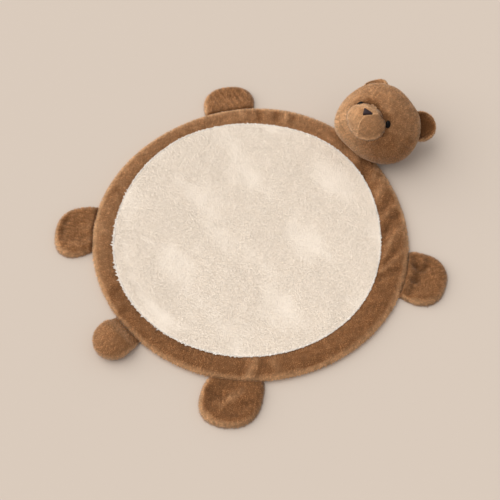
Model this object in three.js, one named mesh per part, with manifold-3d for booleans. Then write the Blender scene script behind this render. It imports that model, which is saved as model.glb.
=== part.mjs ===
// Bear shaped rug for a child: a round plush mat with a cream middle and a brown padded border,
// a stuffed head lying on its back at one end, four flat paws and a round tail.
// Millimetres. The origin is the middle of the mat on the floor, +Z is up and +Y runs to the head.
import * as THREE from 'three';
import { mergeVertices } from 'three/addons/utils/BufferGeometryUtils.js';
import Module from 'manifold-3d';

const wasm = await Module();
wasm.setup();

// Sizes of the mat
const GAP = 0.3; // clear space between two sewn pieces
const MAT_RADIUS = 381.5; // middle radius of the outer seam
const CREAM_RADIUS = 325; // middle radius of the cream middle
const RECESS_FLOOR = 15; // height of the padding under the cream cloth
const CREAM_TOP = 20.2; // height of the cream pile
const SEAM_HEIGHT = 8; // height of the seam round the outer edge
const SEAM_TUCK = 5; // how far the underside steps in below that seam
const EDGE_ROUND = 8; // width of the rounding above that seam
const CLEAR_HEIGHT = 60; // height to which the paws keep clear of the mat
const FLOOR_BELOW = -5; // depth to which cutting shapes run below the floor

// Points round the mat, closer together where the border is folded: degrees
const AROUND_SPANS = [
  { from: 0, to: 20, step: 4 },
  { from: 20, to: 92, step: 1.6 },
  { from: 92, to: 114, step: 3.67 },
  { from: 114, to: 144, step: 1.67 },
  { from: 144, to: 204, step: 4.62 },
  { from: 204, to: 268, step: 3.2 },
  { from: 268, to: 308, step: 4.45 },
  { from: 308, to: 332, step: 2.4 },
  { from: 332, to: 360, step: 4.67 },
];

// Unevenness of the two round edges: order counts the waves in one turn, peak is in degrees
const MAT_WAVES = [
  { order: 1, swing: 8, peak: 26 },
  { order: 2, swing: 3, peak: -40 },
  { order: 3, swing: 3.5, peak: -10 },
  { order: 4, swing: 2, peak: 110 },
];
const CREAM_WAVES = [
  { order: 2, swing: 4, peak: -77 },
  { order: 3, swing: 1.5, peak: -10 },
  { order: 4, swing: 2.5, peak: -10 },
  { order: 5, swing: 1, peak: 108 },
];

// Section of the padded border: across runs from the cream edge (0) to the outer seam (1)
const BORDER_SECTION = [
  { across: 0, z: 18.4 },
  { across: 0.12, z: 21.4 },
  { across: 0.3, z: 23.4 },
  { across: 0.5, z: 23.8 },
  { across: 0.68, z: 22.4 },
  { across: 0.83, z: 19 },
  { across: 0.94, z: 14 },
];

// Soft folds of the border, each from (a1, r1) to (a2, r2): degrees and radius, rise, width
const BORDER_FOLDS = [
  { a1: 8, r1: 336, a2: 13, r2: 368, rise: -2, width: 11 },
  { a1: 24.5, r1: 335, a2: 30, r2: 366, rise: -3.5, width: 10 },
  { a1: 27, r1: 333, a2: 37, r2: 365, rise: 2.5, width: 10 },
  { a1: 31, r1: 333, a2: 37, r2: 356, rise: -4, width: 9 },
  { a1: 40, r1: 332, a2: 47, r2: 362, rise: 2.5, width: 11 },
  { a1: 47, r1: 328, a2: 54.5, r2: 364, rise: -5, width: 11 },
  { a1: 53, r1: 330, a2: 58, r2: 358, rise: 2, width: 11 },
  { a1: 57, r1: 330, a2: 61.5, r2: 358, rise: -3.5, width: 10 },
  { a1: 63, r1: 328, a2: 70, r2: 362, rise: 3, width: 12 },
  { a1: 72.5, r1: 342, a2: 75.5, r2: 362, rise: 2.5, width: 8 },
  { a1: 77, r1: 330, a2: 81, r2: 352, rise: -5, width: 12 },
  { a1: 85, r1: 338, a2: 88, r2: 352, rise: 2, width: 12 },
  { a1: 118, r1: 340, a2: 118, r2: 368, rise: -1.5, width: 9 },
  { a1: 121, r1: 338, a2: 121, r2: 370, rise: 2.5, width: 9 },
  { a1: 125, r1: 346, a2: 125.5, r2: 368, rise: -3, width: 9 },
  { a1: 132, r1: 342, a2: 132.5, r2: 372, rise: -3.5, width: 9 },
  { a1: 139.5, r1: 350, a2: 140, r2: 368, rise: 2, width: 10 },
  { a1: 207, r1: 346, a2: 210, r2: 354, rise: -1.5, width: 14 },
  { a1: 226, r1: 345, a2: 224, r2: 366, rise: 2, width: 12 },
  { a1: 255, r1: 343, a2: 256, r2: 354, rise: -2.5, width: 10 },
  { a1: 263.8, r1: 348, a2: 264, r2: 362, rise: -2.5, width: 11 },
  { a1: 315.5, r1: 348, a2: 315, r2: 368, rise: -2.5, width: 9 },
  { a1: 320.4, r1: 338, a2: 317.6, r2: 374, rise: 3.5, width: 12 },
  { a1: 323.2, r1: 338, a2: 322.4, r2: 360, rise: -2, width: 8 },
  { a1: 327, r1: 345, a2: 327.5, r2: 366, rise: 2, width: 12 },
];

// Gentle waves of the cream middle: heading in degrees, length and rise in millimetres
const CREAM_RIPPLES = [
  { heading: 82, length: 150, rise: 0.8, start: 20 },
  { heading: 25, length: 230, rise: 0.6, start: 70 },
  { heading: 140, length: 185, rise: 0.45, start: 5 },
];
// Rings of the cream middle from its middle outwards: radius and points round it
const CREAM_RINGS = [
  { radius: 50, points: 12 },
  { radius: 105, points: 24 },
  { radius: 160, points: 36 },
  { radius: 215, points: 48 },
  { radius: 265, points: 60 },
];

// Flat paws: angle and reach place the middle of the lobe, wide runs along the mat's edge
// and long runs away from it, top is the height of the plump edge. By the mat a paw leans along
// the edge by lean and is narrower by the share narrow
const PAWS = [
  {
    name: 'arm_left',
    angle: 144,
    reach: 393,
    wide: 68,
    long: 66,
    top: 21,
    dish: 3,
    lean: 4,
    narrow: 0.05,
  },
  {
    name: 'arm_right',
    angle: 29.1,
    reach: 410,
    wide: 72,
    long: 73,
    top: 22,
    dish: 3,
    lean: 5,
    narrow: 0.1,
  },
  {
    name: 'leg_left',
    angle: 226,
    reach: 400,
    wide: 72,
    long: 66,
    top: 22,
    dish: 5,
    lean: -12,
    narrow: 0.06,
  },
  {
    name: 'leg_right',
    angle: 311.8,
    reach: 417,
    wide: 71,
    long: 74,
    top: 22,
    dish: 4,
    lean: 8.5,
    narrow: 0.02,
  },
];
const PAW_POINTS = 36;
const PAW_SQUARE = 2.4; // 2 gives an oval outline, more a squarer one
const PAW_INNER = 1.4; // from a paw's tip to the mat, in its long half sizes
// Section of a paw from its middle (0) to its outline (1): share of the top height there
const PAW_SECTION = [
  { out: 0.3, share: 0.98 },
  { out: 0.55, share: 1 },
  { out: 0.75, share: 0.99 },
  { out: 0.88, share: 0.86 },
  { out: 0.96, share: 0.62 },
  { out: 1, share: 0.3 },
];
// Dents and creases of the paws, each from (x1, y1) to (x2, y2)
const PAW_CREASES = [
  { x1: 324, y1: 233, x2: 340, y2: 224, rise: -4, width: 8 },
  { x1: 340, y1: 224, x2: 357, y2: 229, rise: -5, width: 9 },
  { x1: 357, y1: 232, x2: 349, y2: 252, rise: -3, width: 8 },
  { x1: 335, y1: 242, x2: 339, y2: 240, rise: 2, width: 9 },
  { x1: 355, y1: 214, x2: 363, y2: 188, rise: -4.5, width: 9 },
  { x1: 363, y1: 188, x2: 378, y2: 150, rise: -3.5, width: 10 },
  { x1: 334, y1: 207, x2: 363, y2: 160, rise: 2, width: 8 },
  { x1: -332, y1: -275, x2: -327, y2: -297, rise: -3, width: 8 },
  { x1: -327, y1: -297, x2: -312, y2: -320, rise: -3.5, width: 9 },
  { x1: -312, y1: -320, x2: -292, y2: -332, rise: -3, width: 8 },
  { x1: -258, y1: -321, x2: -244, y2: -316, rise: 2.5, width: 9 },
  { x1: -281, y1: -277, x2: -271, y2: -271, rise: 2.5, width: 11 },
  { x1: -241, y1: -340, x2: -228, y2: -314, rise: -2.5, width: 9 },
  { x1: 240, y1: -334, x2: 266, y2: -327, rise: -4.5, width: 11 },
  { x1: 257, y1: -350, x2: 264, y2: -360, rise: -2.5, width: 11 },
  { x1: 287, y1: -344, x2: 287, y2: -310, rise: 3, width: 11 },
  { x1: 287, y1: -310, x2: 287, y2: -280, rise: 2.5, width: 13 },
  { x1: 318, y1: -300, x2: 332, y2: -280, rise: -3, width: 10 },
  { x1: 318, y1: -345, x2: 322, y2: -310, rise: -1.5, width: 12 },
  { x1: -345, y1: 200, x2: -300, y2: 255, rise: 1.5, width: 12 },
];

// Stuffed tail: a ball that thins to its root at the mat's seam
const TAIL_MIDDLE = [3, -412, 22];
const TAIL_HALF = [49.5, 49, 27];
const TAIL_ROOT = { from: -366, to: -404, share: 0.3 }; // root and full height along y
const TAIL_STRETCH = 1.7; // how much longer its inner half is
const TAIL_LEAN = -4; // how far its root lies to the left

// Stuffed head: its own axes are side, crown and face; angles in degrees
const HEAD_MIDDLE = [21, 426, 80];
const HEAD_HALF = [108, 94, 85]; // half sizes along side, crown and face
const FACE_RISE = 75; // how far the face looks up from level
const FACE_HEADING = -75; // the way it looks, seen from above
const SIDE_DIP = -4; // the side axis dips to the right
const HEAD_POINTS = 38;
const HEAD_RINGS = 22;
// Swells and hollows of the head along a direction in its own axes; spread is in degrees
const HEAD_FORMS = [
  { side: 0, crown: 0.12, face: 1, rise: -6, spread: 15 },
  { side: 0.55, crown: -0.12, face: 0.85, rise: -3, spread: 9 },
  { side: -0.55, crown: -0.12, face: 0.85, rise: -3, spread: 9 },
  { side: 0, crown: 0.75, face: 0.6, rise: 3, spread: 30 },
  { side: 0.85, crown: -0.4, face: 0.15, rise: 6.5, spread: 32 },
  { side: -0.65, crown: -0.74, face: 0.12, rise: 12, spread: 25 },
  { side: -0.95, crown: 0.1, face: 0.28, rise: -5, spread: 30 },
  { side: 0.08, crown: 1, face: 0.05, rise: -4.5, spread: 26 },
];

// Muzzle sewn on the face
const MUZZLE_MIDDLE = [0, -40, 68];
const MUZZLE_HALF = [52, 40, 46];
const MUZZLE_POINTS = 28;
const MUZZLE_RINGS = 14;

// Eyes: flat ovals whose upper ends lean in to the nose, set a little into the pile
const EYES = [
  { name: 'eye_left', side: -44.1, crown: -19.2 },
  { name: 'eye_right', side: 47.4, crown: -13 },
];
const EYE_HALF = [6.4, 9.4, 5];
const EYE_SINK = 2.5; // how deep the middle of an eye lies
const EYE_LEAN = 42;

// Nose: a rounded triangle at the tip of the muzzle
const NOSE_RADIUS = 8.4;
const NOSE_CORNER = 0.2; // how far its three corners reach out, as a share
const NOSE_WIDEN = 1.34;
const NOSE_TIP_ASIDE = 0.5; // how far its lower corner lies to the left, as a share of its height
const NOSE_RISE = 5.9; // degrees from the face axis to the crown
const NOSE_ASIDE = 2.1; // degrees from the face axis to the right
const NOSE_ROLL = -8; // degrees by which it is sewn on askew
const NOSE_THICK = 4.5;

// Ears: round cups set into the head; where their middles lie in the head's axes, and the
// radius to which their two sides curl forwards
const EARS = [
  { name: 'ear_left', side: -70.5, crown: 62, face: -27, curl: 36 },
  { name: 'ear_right', side: 73, crown: 67, face: -27, curl: 110 },
];
const EAR_RADIUS = 41;
const EAR_POINTS = 26;
const EAR_TURN = 12; // degrees by which the hollow side faces outwards
// Section of an ear from the middle of its hollow, over its edge, to the middle of its back
const EAR_SECTION = [
  { out: 0.35, z: -1.5 },
  { out: 0.62, z: 1.5 },
  { out: 0.82, z: 6 },
  { out: 0.94, z: 7.5 },
  { out: 1, z: 3.5 },
  { out: 0.95, z: -2.5 },
  { out: 0.78, z: -7 },
  { out: 0.45, z: -10.5 },
];
const EAR_HOLLOW = -3;
const EAR_BACK = -12;

const rad = THREE.MathUtils.degToRad;
const vec = (x, y, z) => new THREE.Vector3(x, y, z);

// Radius of a wavy round edge at one angle
function edgeRadius(radius, waves, angle) {
  let r = radius;
  for (const w of waves) r += w.swing * Math.cos(w.order * angle - rad(w.peak));
  return r;
}
const matEdge = (angle) => edgeRadius(MAT_RADIUS, MAT_WAVES, angle);
const creamEdge = (angle) => edgeRadius(CREAM_RADIUS, CREAM_WAVES, angle);

// Height added at (x, y) by ridges and valleys that each follow a short line
function relief(creases, x, y) {
  let rise = 0;
  for (const c of creases) {
    const dx = c.x2 - c.x1;
    const dy = c.y2 - c.y1;
    const along = ((x - c.x1) * dx + (y - c.y1) * dy) / (dx * dx + dy * dy);
    const t = THREE.MathUtils.clamp(along, 0, 1);
    const away = Math.hypot(x - c.x1 - t * dx, y - c.y1 - t * dy);
    rise += c.rise * Math.exp(-((away / c.width) ** 2));
  }
  return rise;
}

const foldLines = BORDER_FOLDS.map((f) => ({
  x1: f.r1 * Math.cos(rad(f.a1)),
  y1: f.r1 * Math.sin(rad(f.a1)),
  x2: f.r2 * Math.cos(rad(f.a2)),
  y2: f.r2 * Math.sin(rad(f.a2)),
  rise: f.rise,
  width: f.width,
}));

function creamHeight(x, y) {
  let z = CREAM_TOP;
  for (const r of CREAM_RIPPLES) {
    const along = x * Math.cos(rad(r.heading)) + y * Math.sin(rad(r.heading));
    z += r.rise * Math.sin((2 * Math.PI * along) / r.length + rad(r.start));
  }
  return z;
}

// Angles of an even ring, and those round the mat
const evenly = (points) => Array.from({ length: points }, (_, i) => (2 * Math.PI * i) / points);
const around = AROUND_SPANS.flatMap((span) => {
  const steps = Math.round((span.to - span.from) / span.step);
  const width = (span.to - span.from) / steps;
  return Array.from({ length: steps }, (_, i) => rad(span.from + i * width));
});

// A ring of points, each worked out from its angle
function ring(angles, place) {
  const list = angles.map((angle) => place(angle));
  list.angles = angles;
  return list;
}

// Closed skin over rings that run from a first middle point to a last one; neighbouring rings
// may differ in their points, and are joined step by step in the order of the angles
function skin(first, rings, last) {
  const positions = [];
  const number = (p) => {
    positions.push(p.x, p.y, p.z);
    return positions.length / 3 - 1;
  };
  const start = number(first);
  const levels = rings.map((level) => level.map(number));
  const end = number(last);
  const index = [];
  levels[0].forEach((p, i, level) => index.push(start, p, level[(i + 1) % level.length]));
  for (let k = 0; k + 1 < levels.length; k += 1) {
    const a = levels[k];
    const b = levels[k + 1];
    const turnA = [...rings[k].angles, 2 * Math.PI];
    const turnB = [...rings[k + 1].angles, 2 * Math.PI];
    let i = 0;
    let j = 0;
    while (i < a.length || j < b.length) {
      const stepA = i < a.length && (j === b.length || turnA[i + 1] < turnB[j + 1] - 1e-9);
      if (stepA) {
        index.push(a[i], b[j % b.length], a[(i + 1) % a.length]);
        i += 1;
      } else {
        index.push(a[i % a.length], b[j], b[(j + 1) % b.length]);
        j += 1;
      }
    }
  }
  const rim = levels[levels.length - 1];
  rim.forEach((p, i) => index.push(p, end, rim[(i + 1) % rim.length]));
  const geometry = new THREE.BufferGeometry();
  geometry.setAttribute('position', new THREE.Float32BufferAttribute(positions, 3));
  geometry.setIndex(index);
  return geometry;
}

// Three.js geometry to a solid that can be cut, and back again
function solidOf(geometry) {
  const clean = geometry.clone();
  clean.deleteAttribute('normal');
  clean.deleteAttribute('uv');
  const joined = mergeVertices(clean, 1e-4);
  return new wasm.Manifold(
    new wasm.Mesh({
      numProp: 3,
      vertProperties: new Float32Array(joined.attributes.position.array),
      triVerts: new Uint32Array(joined.index.array),
    }),
  );
}
function geometryOf(solid) {
  const mesh = solid.getMesh();
  const geometry = new THREE.BufferGeometry();
  geometry.setAttribute('position', new THREE.BufferAttribute(mesh.vertProperties, 3));
  geometry.setIndex(new THREE.BufferAttribute(mesh.triVerts, 1));
  geometry.computeVertexNormals();
  return geometry;
}

// The border's rings, moved out by grow along the section
function borderRings(grow) {
  return BORDER_SECTION.map((s, k) => {
    const before = BORDER_SECTION[Math.max(k - 1, 0)];
    const after = BORDER_SECTION[Math.min(k + 1, BORDER_SECTION.length - 1)];
    return ring(around, (angle) => {
      const inner = creamEdge(angle) + GAP;
      const width = matEdge(angle) - inner;
      const lean = Math.atan2((after.across - before.across) * width, before.z - after.z);
      const r = inner + s.across * width;
      const x = r * Math.cos(angle);
      const y = r * Math.sin(angle);
      const fade = Math.min(1, (1 - s.across) * 4);
      const z = s.z + relief(foldLines, x, y) * fade;
      const out = r + grow * Math.cos(lean);
      return vec(out * Math.cos(angle), out * Math.sin(angle), z + grow * Math.sin(lean));
    });
  });
}
const flatRing = (edge, offset, z) =>
  ring(around, (angle) => {
    const r = edge(angle) + offset;
    return vec(r * Math.cos(angle), r * Math.sin(angle), z);
  });

function makeMat() {
  const rings = [
    flatRing(creamEdge, GAP, RECESS_FLOOR),
    ...borderRings(0),
    flatRing(matEdge, 0, SEAM_HEIGHT),
    flatRing(matEdge, -SEAM_TUCK / 3, SEAM_HEIGHT / 3),
    flatRing(matEdge, -SEAM_TUCK, 0),
  ];
  return skin(vec(0, 0, RECESS_FLOOR), rings, vec(0, 0, 0));
}

// The room that the mat takes up, for cutting the pieces sewn against it
function makeMatRoom() {
  const rings = [
    ...borderRings(GAP),
    flatRing(matEdge, GAP, SEAM_HEIGHT),
    flatRing(matEdge, GAP, FLOOR_BELOW),
  ];
  return skin(vec(0, 0, CREAM_TOP), rings, vec(0, 0, FLOOR_BELOW));
}
// Room above the mat inside its rounded edge, kept clear of the paws
function makeRoomAbove() {
  const rings = [
    flatRing(matEdge, -EDGE_ROUND, CLEAR_HEIGHT),
    flatRing(matEdge, -EDGE_ROUND, FLOOR_BELOW),
  ];
  return skin(vec(0, 0, CLEAR_HEIGHT), rings, vec(0, 0, FLOOR_BELOW));
}

function makeCream() {
  const rings = CREAM_RINGS.map((c) =>
    ring(evenly(c.points), (angle) => {
      const r = (c.radius * creamEdge(angle)) / CREAM_RADIUS;
      const x = r * Math.cos(angle);
      const y = r * Math.sin(angle);
      return vec(x, y, creamHeight(x, y));
    }),
  );
  const edgeRing = (inset, drop) =>
    ring(around, (angle) => {
      const r = creamEdge(angle) - inset;
      const x = r * Math.cos(angle);
      const y = r * Math.sin(angle);
      return vec(x, y, creamHeight(x, y) - drop);
    });
  rings.push(edgeRing(14, 0), edgeRing(3, 0.6), edgeRing(0, 2.4));
  rings.push(flatRing(creamEdge, 0, RECESS_FLOOR + GAP));
  const top = vec(0, 0, creamHeight(0, 0));
  return skin(top, rings, vec(0, 0, RECESS_FLOOR + GAP));
}

function makePaw(paw) {
  const middle = vec(Math.cos(rad(paw.angle)), Math.sin(rad(paw.angle)), 0);
  const across = vec(-middle.y, middle.x, 0);
  const place = (out, angle, height) => {
    const c = Math.cos(angle);
    const s = Math.sin(angle);
    const corner = (Math.abs(c) ** PAW_SQUARE + Math.abs(s) ** PAW_SQUARE) ** (1 / PAW_SQUARE);
    const away = (out * c) / corner;
    const inner = ((1 - away) / PAW_INNER) ** 2;
    const aside = (out * s * paw.wide * (1 - paw.narrow * inner)) / corner + paw.lean * inner;
    const p = middle.clone().multiplyScalar(paw.reach + away * paw.long);
    p.addScaledVector(across, aside);
    p.z = height(p.x, p.y);
    return p;
  };
  const rings = PAW_SECTION.map((s) =>
    ring(evenly(PAW_POINTS), (angle) =>
      place(s.out, angle, (x, y) => {
        const fade = Math.min(1, (1 - s.out) * 4);
        const dish = paw.dish * (1 - Math.min(1, s.out / 0.75) ** 2);
        return paw.top * s.share - dish + relief(PAW_CREASES, x, y) * fade;
      }),
    ),
  );
  rings.push(ring(evenly(PAW_POINTS), (angle) => place(0.97, angle, () => 0)));
  const top = place(0, 0, (x, y) => paw.top - paw.dish + relief(PAW_CREASES, x, y));
  return skin(top, rings, place(0, 0, () => 0));
}

// Frame of the head
const face = new THREE.Vector3().setFromSphericalCoords(1, rad(90 - FACE_RISE), 0);
face.set(face.z * Math.cos(rad(FACE_HEADING)), face.z * Math.sin(rad(FACE_HEADING)), face.y);
const side = vec(Math.cos(rad(SIDE_DIP)), 0, Math.sin(rad(SIDE_DIP)));
side.addScaledVector(face, -side.dot(face)).normalize();
const crown = new THREE.Vector3().crossVectors(face, side);
const headFrame = new THREE.Matrix4().makeBasis(side, crown, face);
headFrame.setPosition(...HEAD_MIDDLE);

// Distance from the middle of an oval body to its surface along a unit direction
const ovalReach = ([a, b, c]) => (d) =>
  1 / Math.sqrt((d.x / a) ** 2 + (d.y / b) ** 2 + (d.z / c) ** 2);
const muzzleReach = ovalReach(MUZZLE_HALF);

// The same for the head, an oval with its swells and hollows
function headReach(d) {
  let reach = ovalReach(HEAD_HALF)(d);
  for (const f of HEAD_FORMS) {
    const away = d.angleTo(vec(f.side, f.crown, f.face));
    reach += f.rise * Math.exp(-((away / rad(f.spread)) ** 2));
  }
  return reach;
}

// Stuffed body: a sphere whose points are moved out to reach(direction) + grow
function stuffed(points, ringsDown, reach, middle, grow) {
  const sphere = new THREE.SphereGeometry(1, points, ringsDown);
  sphere.rotateX(Math.PI / 2);
  const position = sphere.attributes.position;
  const p = vec(0, 0, 0);
  for (let i = 0; i < position.count; i += 1) {
    p.fromBufferAttribute(position, i).normalize();
    p.multiplyScalar(reach(p) + grow).add(middle);
    position.setXYZ(i, p.x, p.y, p.z);
  }
  sphere.deleteAttribute('normal');
  sphere.deleteAttribute('uv');
  return mergeVertices(sphere, 1e-3);
}
const makeHead = (grow) =>
  stuffed(HEAD_POINTS, HEAD_RINGS, headReach, vec(0, 0, 0), grow).applyMatrix4(headFrame);
const makeMuzzle = (grow) =>
  stuffed(MUZZLE_POINTS, MUZZLE_RINGS, muzzleReach, vec(...MUZZLE_MIDDLE), grow).applyMatrix4(
    headFrame,
  );

// Frame with its z axis along out and its y axis as near as it can be to up, in head axes
function seat(place, out, up) {
  const z = out.clone().normalize();
  const y = up.clone().addScaledVector(z, -up.dot(z)).normalize();
  const x = new THREE.Vector3().crossVectors(y, z);
  const m = new THREE.Matrix4().makeBasis(x, y, z);
  m.setPosition(place.x, place.y, place.z);
  return m.premultiply(headFrame);
}

function makeEye(eye) {
  const c = Math.sqrt(1 - (eye.side / HEAD_HALF[0]) ** 2 - (eye.crown / HEAD_HALF[1]) ** 2);
  const d = vec(eye.side, eye.crown, HEAD_HALF[2] * c).normalize();
  const place = d.clone().multiplyScalar(headReach(d) - EYE_SINK);
  const up = vec(-Math.sign(eye.side) * Math.sin(rad(EYE_LEAN)), Math.cos(rad(EYE_LEAN)), 0);
  const oval = stuffed(18, 9, ovalReach(EYE_HALF), vec(0, 0, 0), 0);
  return oval.applyMatrix4(seat(place, d, up));
}

function makeNose() {
  const out = vec(Math.tan(rad(NOSE_ASIDE)), Math.tan(rad(NOSE_RISE)), 1).normalize();
  const place = vec(...MUZZLE_MIDDLE).addScaledVector(out, muzzleReach(out) - 0.5);
  const outline = (share, z) =>
    ring(evenly(30), (angle) => {
      const r = NOSE_RADIUS * share * (1 + NOSE_CORNER * Math.cos(3 * (angle + Math.PI / 2)));
      const y = r * Math.sin(angle);
      return vec(NOSE_WIDEN * r * Math.cos(angle) + NOSE_TIP_ASIDE * Math.min(0, y), y, z);
    });
  const rings = [
    outline(0.45, NOSE_THICK * 0.95),
    outline(0.8, NOSE_THICK * 0.7),
    outline(1, NOSE_THICK * 0.15),
    outline(0.92, -NOSE_THICK),
  ];
  const shape = skin(vec(0, 0, NOSE_THICK), rings, vec(0, 0, -NOSE_THICK));
  const up = vec(Math.sin(rad(NOSE_ROLL)), Math.cos(rad(NOSE_ROLL)), 0);
  return shape.applyMatrix4(seat(place, out, up));
}

function makeEar(ear) {
  const place = vec(ear.side, ear.crown, ear.face);
  const out = vec(Math.sign(ear.side) * Math.sin(rad(EAR_TURN)), 0, Math.cos(rad(EAR_TURN)));
  const rings = EAR_SECTION.map((s) =>
    ring(evenly(EAR_POINTS), (angle) => {
      const r = EAR_RADIUS * s.out;
      const turn = (r * Math.cos(angle)) / ear.curl;
      const bend = ear.curl - s.z;
      return vec(bend * Math.sin(turn), r * Math.sin(angle), ear.curl - bend * Math.cos(turn));
    }),
  );
  const cup = skin(vec(0, 0, EAR_HOLLOW), rings, vec(0, 0, EAR_BACK));
  return cup.applyMatrix4(seat(place, out, place));
}

function makeTail() {
  const ball = stuffed(28, 14, ovalReach(TAIL_HALF), vec(...TAIL_MIDDLE), 0);
  const position = ball.attributes.position;
  const end = TAIL_MIDDLE[1] - TAIL_HALF[1];
  for (let i = 0; i < position.count; i += 1) {
    const inwards = position.getY(i) - TAIL_MIDDLE[1];
    const y = TAIL_MIDDLE[1] + inwards * (inwards > 0 ? TAIL_STRETCH : 1);
    const grown = THREE.MathUtils.smoothstep(-y, -TAIL_ROOT.from, -TAIL_ROOT.to);
    const z = position.getZ(i) * THREE.MathUtils.lerp(TAIL_ROOT.share, 1, grown);
    const lean = TAIL_LEAN * ((y - end) / (TAIL_ROOT.from - end)) ** 2;
    position.setXYZ(i, position.getX(i) + lean, y, z);
  }
  return ball;
}

// Everything below the floor plane
function belowFloor() {
  const block = new THREE.BoxGeometry(1400, 1400, 100);
  block.translate(0, 0, -50);
  return solidOf(block);
}

const plush = (color) => new THREE.MeshStandardMaterial({ color, roughness: 0.95, metalness: 0 });
const BROWN = 0x9c704c;
const CREAM = 0xe4d8c6;

const matRoom = solidOf(makeMatRoom());
const pawRoom = matRoom.add(solidOf(makeRoomAbove()));
const ground = belowFloor();
const headRoom = solidOf(makeHead(GAP));
const muzzleRoom = solidOf(makeMuzzle(GAP));

const head = solidOf(makeHead(0)).subtract(ground).subtract(matRoom);
const muzzle = solidOf(makeMuzzle(0)).subtract(headRoom);
const sewnOn = (geometry) => solidOf(geometry).subtract(headRoom).subtract(muzzleRoom);

const group = new THREE.Group();
function add(name, geometry, material) {
  const mesh = new THREE.Mesh(geometry, material);
  mesh.name = name;
  group.add(mesh);
}

add('mat_body', makeMat(), plush(BROWN));
add('centre_panel', makeCream(), plush(CREAM));
add('head', geometryOf(head), plush(BROWN));
add('muzzle', geometryOf(muzzle), plush(BROWN));
for (const ear of EARS) {
  add(ear.name, geometryOf(sewnOn(makeEar(ear)).subtract(ground)), plush(BROWN));
}
const bead = () => new THREE.MeshStandardMaterial({ color: 0x0d0b0b, roughness: 0.3, metalness: 0 });
for (const eye of EYES) add(eye.name, geometryOf(sewnOn(makeEye(eye))), bead());
const noseCloth = new THREE.MeshStandardMaterial({ color: 0x3b2630, roughness: 0.6, metalness: 0 });
add('nose', geometryOf(solidOf(makeNose()).subtract(muzzleRoom)), noseCloth);
for (const paw of PAWS) {
  add(paw.name, geometryOf(solidOf(makePaw(paw)).subtract(pawRoom)), plush(BROWN));
}
const tail = solidOf(makeTail()).subtract(ground).subtract(pawRoom);
add('tail', geometryOf(tail), plush(BROWN));

export default group;
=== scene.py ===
"""Bear shaped rug for a child: a round plush mat with a cream middle and a padded brown border,
a stuffed head lying on its back, four flat paws and a round tail. Shapes are worked out in
millimetres and go to Blender in metres. +Z is up and +Y runs to the head."""

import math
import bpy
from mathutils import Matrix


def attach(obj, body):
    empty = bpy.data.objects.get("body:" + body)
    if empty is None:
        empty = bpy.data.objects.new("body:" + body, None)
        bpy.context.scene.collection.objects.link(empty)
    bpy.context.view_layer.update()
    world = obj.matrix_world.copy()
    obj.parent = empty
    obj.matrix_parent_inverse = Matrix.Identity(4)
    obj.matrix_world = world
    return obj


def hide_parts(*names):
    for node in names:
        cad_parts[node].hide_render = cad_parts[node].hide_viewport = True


bl_info = {
    "name": "Bear shaped rug",
    "version": (1, 0, 0),
    "blender": (4, 5, 0),
    "location": "View3D > Sidebar > Rug",
    "description": "Builds a bear shaped plush rug with its pile, face, paws and tail",
    "category": "Add Mesh",
}

from collections import namedtuple

import bmesh
import bpy
import numpy as np
from bpy.props import FloatProperty, FloatVectorProperty, PointerProperty
from mathutils import Matrix, Vector

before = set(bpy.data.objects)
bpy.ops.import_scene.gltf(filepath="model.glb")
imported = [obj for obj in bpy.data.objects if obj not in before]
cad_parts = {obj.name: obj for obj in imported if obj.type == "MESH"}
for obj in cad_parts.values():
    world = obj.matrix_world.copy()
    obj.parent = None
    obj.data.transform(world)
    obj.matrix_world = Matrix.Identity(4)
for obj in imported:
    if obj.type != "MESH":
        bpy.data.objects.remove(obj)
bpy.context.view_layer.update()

MM = 0.001  # metres in a millimetre
TURN = 2 * math.pi
GOLDEN = (math.sqrt(5) - 1) / 2
TIP_REST = 0.3  # lowest height of the pile's tips over the floor
ROOT_REST = 0.05

# The mat: heights and gaps between the sewn pieces
GAP = 0.3
RECESS_FLOOR = 15.0  # padding under the cream cloth
RECESS_LIP = 16.2  # top of the wall round the cream cloth
CREAM_TOP = 20.2
SEAM_HEIGHT = 8.0
ROOT_HEIGHT, ROOT_SLOPE = 9, 3  # height of a paw at the mat, and how fast it may rise from there
UNDER_SEAM = 3.5  # how far the paws and the tail reach in under the pile of the border

Wave = namedtuple("Wave", "order swing peak")
MAT_WAVES = [Wave(1, 8, 26), Wave(2, 3, -40), Wave(3, 3.5, -10), Wave(4, 2, 110)]
CREAM_WAVES = [Wave(2, 4, -77), Wave(3, 1.5, -10), Wave(4, 2.5, -10), Wave(5, 1, 108)]

# Section of the border from the cream edge (0) to the outer seam (1)
BORDER_SECTION = [
    (0, 18.4), (0.12, 21.4), (0.3, 23.4), (0.5, 23.8),
    (0.68, 22.4), (0.83, 19), (0.94, 14), (1, 8),
]

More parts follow.
